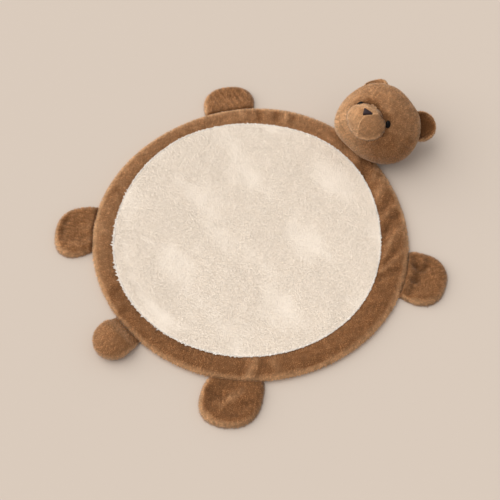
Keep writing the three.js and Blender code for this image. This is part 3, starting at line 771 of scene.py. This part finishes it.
def make_centre():
    angle = around_angles(CENTRE_POINTS)
    edge = cream_edge(angle)
    shares = np.linspace(0.01, 0.94, CENTRE_RINGS)
    shares = np.append(shares, [0.955, 0.968, 0.98, 0.988, 0.995, 1.0])
    r = shares[:, None] * edge
    inset = edge - r
    drop = np.interp(inset, [0, 3, 14], [1.0, 0.3, 0])
    dip = bell(inset - 30, 14) * smoothstep(np.cos(angle - rad(262)), 0.7, 0.95)
    p = round_points(r, angle, 0.0)
    z = cream_height(p) - drop - 2 * dip + 0.4 * waviness(p[..., :2], 42, 21)
    p[..., 2] = z
    # The dip is also painted darker: painted shade in the hollow
    cloth = Cloth(p, grid_normals(p), -0.5 * dip)
    sunk = np.minimum(CREAM_PILE.length, z - RECESS_FLOOR - GAP - 0.5)
    floor = round_points(r, angle, RECESS_FLOOR + GAP)[::-1]
    both = np.concatenate([round_points(r, angle, z - sunk), floor])
    cream = simple_body("centre_cloth", both, (0, 0, 0.5))
    finish_piece(cream, "cream_pile", "cream_plush", "centre_panel")

    shuffle = np.random.default_rng(31)
    shift = 0.5 + shuffle.uniform(-0.35, 0.35, CLUMPS)
    reach = shuffle.uniform(0, 1, CLUMPS) ** 1.2

    def ragged(root, tip):
        """At the edge the pile spills over the border in uneven pointed clumps."""
        turn, span = round_mat(root)
        left = cream_edge(turn) - span
        place = (turn / TURN % 1) * CLUMPS
        own = np.minimum(place.astype(int), CLUMPS - 1)
        off = place - own - shift[own]
        point = np.clip(1 - np.abs(off) * 2, 0, 1)
        loose = 0.6 + 0.65 * smoothstep(np.cos(turn - rad(268)), 0.35, 0.85)
        edge_only = 1 - smoothstep(left, 2, 8)
        spill = edge_only * loose * (0.8 + 5 * reach[own] * point)
        drawn = turn - 0.4 * edge_only * off * TURN / CLUMPS
        bend, span = round_mat(tip)
        bend, span = drawn - turn + bend, span + spill
        tip[:, 0], tip[:, 1] = np.cos(bend) * span, np.sin(bend) * span
        over = span > cream_edge(bend)
        lifted = np.maximum(tip[:, 2], border_height(tip) + 0.6)
        tip[:, 2] = np.where(over, lifted, tip[:, 2])
        return tip

    turn = around_angles(FRINGE_TUFTS)
    rng = np.random.default_rng(32)
    rows = []
    for inset in FRINGE_INSETS:
        place = turn + rng.normal(0, 0.0008, turn.shape)
        row = round_points(cream_edge(place) - inset, place, 0.0)
        row[:, 2] = cream_height(row) - CREAM_PILE.length
        rows.append(row)
    fringe = np.vstack(rows)
    upright = unit(np.column_stack([0.15 * unit(fringe[:, :2]), np.ones(len(fringe))]))

    # Fringe tufts get full painted light, which lifts the shade between their dense rows
    extra = fringe, upright, np.ones(len(fringe))
    pile = tufts_only("centre_pile", cloth, CREAM_PILE, 12, ragged, extra)
    finish_piece(pile, "cream_pile", "cream_plush", "centre_panel")


def tufts_only(name, cloth, pile, seed, lift, extra):
    """Pile as a piece of its own, standing all over the cloth that carries it."""
    piece = plush(name, cloth, pile, seed, lambda q: np.ones(q.shape[:-1], bool), lift=lift,
                  extra=extra)
    backing_points = cloth.rim.size + 2
    bm = bmesh.new()
    bm.from_mesh(piece.data)
    bm.verts.ensure_lookup_table()
    bmesh.ops.delete(bm, geom=bm.verts[:backing_points], context="VERTS")
    bm.to_mesh(piece.data)
    bm.free()
    return piece


def stuffed_grid(count, reach):
    d = sphere_directions(*count)
    return d, d * reach(d)[..., None]


def rest_on_mat(p):
    """Moves points up onto the mat or the floor under them."""
    p[..., 2] = np.maximum(p[..., 2], border_height(p) + GAP)
    return p


def make_head():
    d, local = stuffed_grid(HEAD_GRID, filled_reach)
    off = outside_muzzle(local)
    depth = 1.2 * smoothstep(local[..., 1], -60, -15)
    brow = bell(near_path(local, BROW_GROOVE), 11)
    cheek = bell(near_path(local, CHEEK_GROOVE), 5)
    lumps = 0.7 * waviness(d * 90, 55, 41)
    sunk = 3.5 * depth * bell(off, 5.5) + 2 * brow + 3 * cheek
    local = local + d * (lumps - sunk)[..., None]
    p = from_head(local)
    normals = grid_normals(p)
    # Base tone and random tone; painted shade in the crease round the muzzle and in the brow and
    # cheek grooves, and on the side turned away from the window light; painted light on the side
    # facing it
    rim = 0.25 + 0.07 * waviness(p, 30, 42) - 0.35 * depth * bell(off, 7)
    rim = rim - 0.5 * brow - 0.4 * cheek + 0.5 * smoothstep(normals @ LIT_SIDE, 0.4, 0.95)
    rim = rim - 0.22 * smoothstep(normals @ SHADE_SIDE, 0.25, 0.85)
    p = rest_on_mat(p)
    cloth = Cloth(p, normals, np.clip(rim, -1, 1))

    def keep(q):
        clear = q[..., 2] > border_height(q) + 2.5
        return clear & (outside_muzzle(to_head(q)) > -1.5)

    piece = plush("head_body", cloth, HEAD_PILE, 13, keep, nap=-0.5 * CROWN + 0.2 * SIDE)
    finish_piece(piece, "brown_pile", "brown_plush", "head")


def make_muzzle():
    d, local = stuffed_grid(MUZZLE_GRID, muzzle_reach)
    local = local + MUZZLE_MIDDLE
    off = outside(filled_reach, local)
    lines = [CENTRE_SEAM[1:], SIDE_SEAM, [(-s, c, f) for s, c, f in SIDE_SEAM[2:]]]
    seam = bell(np.min([near_path(local, line) for line in lines], axis=0), 2.4)
    lower = 1 - smoothstep(local[..., 1], -50, -36)
    keel = np.exp(-near_path(local, CENTRE_SEAM) / 12) * (1 - smoothstep(local[..., 1], -62, -50))
    dent = bell(near_path(local, MUZZLE_DENT), 8)
    flat = bell(near_path(local, MUZZLE_TOP), 14)
    roll = bell(off - 2.5, 4.5) * lower
    rise = 1.2 * seam + 2.2 * keel + 1.2 * roll - 5.5 * dent - 6 * flat
    local = local + d * rise[..., None]

    # Where the muzzle meets the head its back begins, which lies on the head
    ring = np.arange(len(local))[:, None]
    first = np.argmax(outside(filled_reach, local) < 0, axis=0)
    share = np.clip((ring - first) / (len(local) - 1 - first), 0, 1)
    ways = unit(local)
    meet = ways[first, np.arange(local.shape[1])]
    back = unit(meet + share[..., None] * (unit(MUZZLE_MIDDLE) - meet))
    held = back * (filled_reach(back) + 0.2)[..., None]
    local = np.where((ring >= first)[..., None], held, local)
    p = from_head(local)
    normals = grid_normals(p)
    # Painted highlights: a light band along the muzzle's lower roll, a broader one on its left
    # roll, and its lit top by the bridge
    lit_band = bell(off - 3, 6) * lower
    left_roll_highlight = bell(off - 9, 9) * (1 - smoothstep(local[..., 0], -32, -12))
    bridge_light = smoothstep(local[..., 1], -38, -24) * (1 - smoothstep(local[..., 0], 8, 18))
    # Base tone of the paler muzzle pile; painted highlights along the seams; painted shade in the
    # dent; painted light on the side facing the window light
    rim = 0.3 + 0.55 * seam + 0.5 * lit_band + 0.3 * left_roll_highlight + 0.25 * bridge_light - 0.9 * dent
    rim = rim + 0.05 * waviness(p, 20, 44) + 0.45 * bell(near_path(local, SIDE_SEAM), 3.6)
    rim = rim + 0.3 * smoothstep(normals @ LIT_SIDE, 0.1, 0.8)
    cloth = Cloth(p, normals, np.clip(rim, -1, 1))

    def keep(q):
        local = to_head(q)
        return (outside(filled_reach, local) > -2.5) & (outside_muzzle(local) > -12)

    piece = plush("muzzle_body", cloth, MUZZLE_PILE, 14, keep, nap=-0.6 * CROWN)
    finish_piece(piece, "brown_pile", "brown_plush", "muzzle")


def seat(place, out, up):
    """Rows x, y and z of a seat on the head, z along out and y near up, and its place."""
    z = unit(np.asarray(out, float))
    y = np.asarray(up, float)
    y = unit(y - (y @ z) * z)
    return np.array([np.cross(y, z), y, z]), np.asarray(place, float)


def seated(local, axes, place):
    return from_head(local @ axes + place)


def simple_body(name, grid, pile_colour=None):
    """Closed mesh over rings of points."""
    shell = np.vstack([grid.reshape(-1, 3), grid[0].mean(0), grid[-1].mean(0)])
    colour = None if pile_colour is None else np.tile(pile_colour, (len(shell), 1))
    return sew_mesh(name, shell, shell_faces(*grid.shape[:2]), colour)


def make_eyes():
    for eye in EYES:
        high = math.sqrt(1 - (eye.side / HEAD_HALF[0]) ** 2 - (eye.crown / HEAD_HALF[1]) ** 2)
        d = unit(np.array([eye.side, eye.crown, HEAD_HALF[2] * high]))
        place = d * (head_reach(d) - EYE_SINK)
        lean = math.copysign(rad(EYE_LEAN), eye.side)
        axes, place = seat(place, d, (-math.sin(lean), math.cos(lean), 0))
        _, oval = stuffed_grid(EYE_GRID, lambda v: oval_reach(EYE_HALF, v))
        piece = simple_body(eye.name + "_bead", seated(oval, axes, place))
        finish_piece(piece, "eye_bead", "black_bead", eye.name)


def make_nose():
    out = unit(np.array([math.tan(rad(NOSE_ASIDE)), math.tan(rad(NOSE_RISE)), 1]))
    place = MUZZLE_MIDDLE + out * (muzzle_reach(out) - 0.5)
    up = np.array([math.sin(rad(NOSE_ROLL)), math.cos(rad(NOSE_ROLL)), 0])
    axes, place = seat(place, out, up)
    angle = around_angles(NOSE_POINTS)
    section = curve_through(NOSE_SECTION, NOSE_STEPS)
    sides = [np.maximum(0, np.cos(angle - rad(way))) ** NOSE_SHARP for way in (90, 210, 330)]
    r = NOSE_RADIUS * section[:, :1] / np.sum(sides, axis=0) ** (1 / NOSE_SHARP)
    x, y = NOSE_WIDEN * r * np.cos(angle), r * np.sin(angle)
    x = x + NOSE_TIP_ASIDE * np.minimum(0, y)
    thread = 0.22 * np.abs(np.sin(math.pi * x / THREAD_WIDTH)) * (section[:, 1:] > 0)
    z = NOSE_THICK * section[:, 1:] + thread
    piece = simple_body("nose_patch", seated(np.stack([x, y, z], -1), axes, place))
    finish_piece(piece, "nose_satin", "dark_satin", "nose")


def make_ears():
    for seed, ear in enumerate(EARS):
        place = np.array([ear.side, ear.crown, ear.face], float)
        turn = math.copysign(rad(EAR_TURN), ear.side)
        out = np.array([math.sin(turn), 0, math.cos(turn)])
        axes, place = seat(place, out, place)
        angle = around_angles(EAR_POINTS)
        section = curve_through(EAR_SECTION, EAR_STEPS)
        r = EAR_RADIUS * section[:, :1]
        turned = r * np.cos(angle) / ear.curl
        bend = ear.curl - section[:, 1:]
        x, y, z = bend * np.sin(turned), r * np.sin(angle), ear.curl - bend * np.cos(turned)
        p = seated(np.stack([x, y, z], -1), axes, place)
        normals = grid_normals(p)
        # Painted highlight along the cup's edge, broader on its outer side; painted shade in the
        # hollow, darkest by the head
        wide = 0.22 + 0.2 * smoothstep(-np.cos(angle), 0.1, 0.9)
        edge = bell(section[:, :1] - 1, wide)
        shadow = ear.dark * (1.1 - 0.6 * smoothstep(r * np.sin(angle), -18, 30))
        hollow = np.arange(len(section))[:, None] < np.argmax(section[:, 0]) - 6
        p[..., 2] = np.maximum(p[..., 2], TIP_REST)
        rim = 0.45 * edge - shadow * hollow * (1 - edge) + 0.08 * waviness(p, 20, 46)
        cloth = Cloth(p, normals, np.clip(rim, -1, 1))

        def keep(q):
            return (outside(head_reach, to_head(q)) > -3) & (q[..., 2] > 1.5)

        piece = plush(ear.name + "_cup", cloth, EAR_PILE, 15 + seed, keep, nap=0.3 * CROWN)
        finish_piece(piece, "ear_pile", "brown_plush", ear.name)


def clear_of_mat(p):
    """Lowers points towards the mat's outer seam, and moves those inside it out to its backing."""
    angle, r = round_mat(p)
    edge = mat_edge(angle) - UNDER_SEAM
    p[..., 2] = np.minimum(p[..., 2], ROOT_HEIGHT + ROOT_SLOPE * np.maximum(r - edge, 0))
    held = np.maximum(r, edge)
    p[..., 0] = held * np.cos(angle)
    p[..., 1] = held * np.sin(angle)
    return p


def by_seam(q):
    """From 0 to 1: how near points are to the mat's outer seam."""
    angle, r = round_mat(q)
    return 1 - smoothstep(r - mat_edge(angle), -3, 6)


def off_mat(q):
    """Where the pile of a paw or of the tail grows: past the mat's seam and over the floor."""
    angle, r = round_mat(q)
    return (r > mat_edge(angle) - UNDER_SEAM + 0.5) & (q[..., 2] > 1.0)


def paw_place(paw, out, angle):
    """Points of a paw: out runs from its middle (0) to its outline (1)."""
    middle = np.array(polar(paw.angle, 1))
    across = np.array([-middle[1], middle[0]])
    c, s = np.cos(angle), np.sin(angle)
    corner = (np.abs(c) ** PAW_SQUARE + np.abs(s) ** PAW_SQUARE) ** (1 / PAW_SQUARE)
    away = out * c / corner
    inner = ((1 - away) / PAW_INNER) ** 2
    aside = out * s * paw.wide * (1 - paw.narrow * inner) / corner + paw.lean * inner
    return middle * (paw.reach + away * paw.long)[..., None] + across * aside[..., None]


def make_paws():
    for seed, paw in enumerate(PAWS):
        angle = around_angles(PAW_POINTS)
        section = curve_through(PAW_SECTION, PAW_STEPS)
        out = section[:, :1]
        xy = paw_place(paw, out, angle)
        fade = np.minimum(1, (1 - out) * 4)
        dish = paw.dish * (1 - np.minimum(1, out / 0.75) ** 2)
        z = paw.top * section[:, 1:] - dish + relief(PAW_CREASES, xy) * fade
        z = z + 0.5 * waviness(xy, 28, 51 + seed) * fade
        p = np.concatenate([xy, z[..., None]], -1)
        under, height = np.array(PAW_UNDER).T[..., None]
        below = np.broadcast_to(paw.top * height, (len(PAW_UNDER), PAW_POINTS))
        under = np.concatenate([paw_place(paw, under, angle), below[..., None]], -1)
        p = np.concatenate([p, under])
        normals = grid_normals(p)
        # Painted sheen: the paw's outline painted lighter, most on one side of the mat
        lit_side = 0.55 + 0.45 * np.cos(angle + rad(paw.angle) - SHEEN_WAY)
        spread = np.concatenate([out, np.ones((len(PAW_UNDER), 1))])
        rim = smoothstep(spread, 0.7, 1.05) * 0.85 * lit_side
        # A slightly darker tone and random tone; creases painted darker and ridges lighter
        # (painted shade and painted highlight); painted shade where the paw meets the mat's seam
        rim = rim - 0.14 + 0.06 * waviness(p[..., :2], 24, 61 + seed)
        rim = rim + 0.09 * relief(PAW_CREASES, p) - 0.8 * by_seam(p)
        p = clear_of_mat(p)
        cloth = Cloth(p, normals, np.clip(rim, -1, 1))

        nap = 0.7 * np.array([*polar(paw.angle, 1), 0])
        piece = plush(paw.name + "_paw", cloth, PAW_PILE, 21 + seed, off_mat, nap=nap)
        finish_piece(piece, "brown_pile", "brown_plush", paw.name)


def make_tail():
    _, p = stuffed_grid(TAIL_GRID, lambda v: oval_reach(TAIL_HALF, v))
    p = p * np.where(p[..., 1:2] > 0, (1, TAIL_STRETCH, 1), (1, 1, 1)) + TAIL_MIDDLE
    end = TAIL_MIDDLE[1] - TAIL_HALF[1]
    p[..., 0] += TAIL_LEAN * ((p[..., 1] - end) / (-TAIL_ROOT[0] - end)) ** 2
    grown = smoothstep(-p[..., 1], TAIL_ROOT[0], TAIL_ROOT[1])
    p[..., 2] *= TAIL_ROOT[2] + (1 - TAIL_ROOT[2]) * grown
    normals = grid_normals(p)
    p[..., 2] = np.maximum(p[..., 2], 0.0)
    p = clear_of_mat(p)
    # Painted sheen: sides and underside painted lighter than the top, over random tone; painted
    # shade where the tail meets the mat's seam
    rim = 0.1 + 0.4 * smoothstep(-normals[..., 2], -0.75, 0.1) + 0.05 * waviness(p, 24, 71)
    rim = rim - 0.5 * by_seam(p)
    cloth = Cloth(p, normals, np.clip(rim, -1, 1))

    piece = plush("tail_ball", cloth, PAW_PILE, 31, off_mat, nap=np.array([0, -0.7, 0]))
    finish_piece(piece, "brown_pile", "brown_plush", "tail")


# Stage

WINDOW = (-2.1, -1.3, 2.9)  # from where the soft light comes
WINDOW_WIDTH = 80  # degrees of the sky that it fills
SENSOR_WIDTH = 36


def make_stage():
    look = sizes()
    mesh = bpy.data.meshes.new("studio_floor")
    half = look.floor_size / 2
    corners = [(-half, -half, 0), (half, -half, 0), (half, half, 0), (-half, half, 0)]
    mesh.from_pydata(corners, [], [(0, 1, 2, 3)])
    floor = add_object("studio_floor", mesh)
    mat, shader, _ = surface("studio_floor", 0.9, 0.1)
    shader.inputs["Base Color"].default_value = (*look.floor_colour, 1)
    mesh.materials.append(mat)

    a, e = rad(look.camera_azimuth), rad(look.camera_elevation)
    back = Vector((math.sin(a) * math.cos(e), -math.cos(a) * math.cos(e), math.sin(e)))
    cam = bpy.data.cameras.new("camera")
    cam.lens, cam.sensor_width = look.lens, SENSOR_WIDTH
    cam.clip_start, cam.clip_end = 0.05, 50
    camera = add_object("camera", cam)
    camera.location = Vector(look.camera_aim) + back * look.camera_distance
    camera.rotation_mode = "QUATERNION"
    level = (-back).to_track_quat("-Z", "Y")
    roll = Matrix.Rotation(rad(look.camera_roll), 3, "Z").to_quaternion()
    camera.rotation_quaternion = level @ roll
    bpy.context.scene.camera = camera

    sun = bpy.data.lights.new("window_light", "SUN")
    sun.energy, sun.angle, sun.color = look.key_power, rad(WINDOW_WIDTH), (1.0, 0.97, 0.93)
    light = add_object("window_light", sun)
    light.location = WINDOW
    light.rotation_mode = "QUATERNION"
    light.rotation_quaternion = (-Vector(WINDOW)).to_track_quat("-Z", "Y")
    world = bpy.data.worlds.new("studio_air")
    bpy.context.scene.world = world
    world.use_nodes = True
    air = world.node_tree.nodes["Background"]
    air.inputs["Color"].default_value = (1.0, 0.97, 0.94, 1)
    air.inputs["Strength"].default_value = look.air_strength
    bpy.context.scene.view_settings.view_transform = "Standard"


# Settings, operators and panel


def number_setting(name, text, value, **more):
    return FloatProperty(name=name, description=text, default=value, **more)


def size_setting(name, text, value):
    return number_setting(name, text, value, subtype="DISTANCE", unit="LENGTH")


def colour_setting(name, text, value):
    return FloatVectorProperty(name=name, description=text, default=value, subtype="COLOR",
                               size=3, min=0, max=1)


class RUG_PG_settings(bpy.types.PropertyGroup):
    """Sizes and colours of the rug and its stage."""

    mat_radius: size_setting("Mat radius", "Middle radius of the outer seam", 0.3815)
    cream_radius: size_setting("Cream radius", "Middle radius of the cream middle", 0.325)
    # Roots darker than tips: painted shade deep in the pile
    brown_root: colour_setting("Brown, roots", "Brown pile at its roots", (0.25, 0.113, 0.044))
    brown_tip: colour_setting("Brown, tips", "Brown pile at its tips", (0.56, 0.283, 0.127))
    # Colour mixed in as painted light and sheen, and as the muzzle's paler tone
    brown_pale_and_lit: colour_setting("Brown, edges", "Brown pile over an edge", (0.8, 0.485, 0.26))
    # Darker roots of the ears: painted shade in their hollows
    ear_shaded_root: colour_setting("Ears, roots", "Pile in the hollow of an ear", (0.185, 0.075, 0.024))
    # Cream roots darker than tips: painted shade deep in the pile
    cream_root: colour_setting("Cream, roots", "Cream pile at its roots", (0.87, 0.78, 0.68))
    cream_tip: colour_setting("Cream, tips", "Cream pile at its tips", (0.94, 0.872, 0.8))
    # Colour mixed into the cream fringe as painted light
    cream_painted_light: colour_setting("Cream, edges", "Cream pile over an edge", (0.95, 0.888, 0.82))
    eye_colour: colour_setting("Eyes", "Black of the eyes", (0.003, 0.0025, 0.0025))
    nose_colour: colour_setting("Nose", "Satin of the nose", (0.022, 0.009, 0.011))
    floor_colour: colour_setting("Floor", "Floor of the stage", (0.60, 0.525, 0.46))
    floor_size: size_setting("Floor size", "Side of the square floor", 60.0)
    camera_azimuth: number_setting("Camera azimuth", "Degrees round the rug", 49.6)
    camera_elevation: number_setting("Camera elevation", "Degrees above level", 59.0)
    camera_roll: number_setting("Camera roll", "Degrees about its own axis", -2.84)
    camera_distance: size_setting("Camera distance", "From the point that it looks at", 2.3713)
    camera_aim: FloatVectorProperty(name="Camera aim", description="Point that it looks at",
                                    default=(0.0336, -0.0235, 0.0), subtype="XYZ", unit="LENGTH")
    lens: number_setting("Lens", "Focal length in millimetres", 71.685)
    key_power: number_setting("Window light", "Strength of the soft main light", 2.1)
    air_strength: number_setting("Air light", "Strength of the light all round", 0.66)


def made(maker):
    """Makes a piece or group, and tells Blender so."""
    maker()
    return {"FINISHED"}


class RUG_OT_border(bpy.types.Operator):
    """Makes the mat with its padded border."""

    bl_idname = "rug.border"
    bl_label = "Mat and border"

    def execute(self, context):
        return made(make_border)


class RUG_OT_centre(bpy.types.Operator):
    """Makes the cream middle with its pile."""

    bl_idname = "rug.centre"
    bl_label = "Cream middle"

    def execute(self, context):
        return made(make_centre)


class RUG_OT_head(bpy.types.Operator):
    """Makes the stuffed head."""

    bl_idname = "rug.head"
    bl_label = "Head"

    def execute(self, context):
        return made(make_head)


class RUG_OT_muzzle(bpy.types.Operator):
    """Makes the muzzle with its seams."""

    bl_idname = "rug.muzzle"
    bl_label = "Muzzle"

    def execute(self, context):
        return made(make_muzzle)


class RUG_OT_eyes(bpy.types.Operator):
    """Makes the two eyes."""

    bl_idname = "rug.eyes"
    bl_label = "Eyes"

    def execute(self, context):
        return made(make_eyes)


class RUG_OT_nose(bpy.types.Operator):
    """Makes the satin nose."""

    bl_idname = "rug.nose"
    bl_label = "Nose"

    def execute(self, context):
        return made(make_nose)


class RUG_OT_ears(bpy.types.Operator):
    """Makes the two ears."""

    bl_idname = "rug.ears"
    bl_label = "Ears"

    def execute(self, context):
        return made(make_ears)


class RUG_OT_paws(bpy.types.Operator):
    """Makes the four flat paws."""

    bl_idname = "rug.paws"
    bl_label = "Paws"

    def execute(self, context):
        return made(make_paws)


class RUG_OT_tail(bpy.types.Operator):
    """Makes the round tail."""

    bl_idname = "rug.tail"
    bl_label = "Tail"

    def execute(self, context):
        return made(make_tail)


class RUG_OT_stage(bpy.types.Operator):
    """Makes the floor, the lights and the camera."""

    bl_idname = "rug.stage"
    bl_label = "Stage"

    def execute(self, context):
        return made(make_stage)


OPERATORS = (
    RUG_OT_border, RUG_OT_centre, RUG_OT_head, RUG_OT_muzzle, RUG_OT_eyes, RUG_OT_nose,
    RUG_OT_ears, RUG_OT_paws, RUG_OT_tail, RUG_OT_stage,
)


class RUG_PT_panel(bpy.types.Panel):
    """Lists the settings and the pieces of the rug."""

    bl_idname = "RUG_PT_panel"
    bl_label = "Bear shaped rug"
    bl_space_type = "VIEW_3D"
    bl_region_type = "UI"
    bl_category = "Rug"

    def draw(self, context):
        for name in RUG_PG_settings.__annotations__:
            self.layout.prop(context.scene.bear_rug, name)
        for operator in OPERATORS:
            self.layout.operator(operator.bl_idname)


CLASSES = (RUG_PG_settings, *OPERATORS, RUG_PT_panel)


def register():
    for cls in CLASSES:
        bpy.utils.register_class(cls)
    bpy.types.Scene.bear_rug = PointerProperty(type=RUG_PG_settings)


def unregister():
    del bpy.types.Scene.bear_rug
    for cls in reversed(CLASSES):
        bpy.utils.unregister_class(cls)


def main():
    register()
    for operator in OPERATORS:
        group, call = operator.bl_idname.split(".")
        getattr(getattr(bpy.ops, group), call)()


if __name__ == "__main__":
    main()
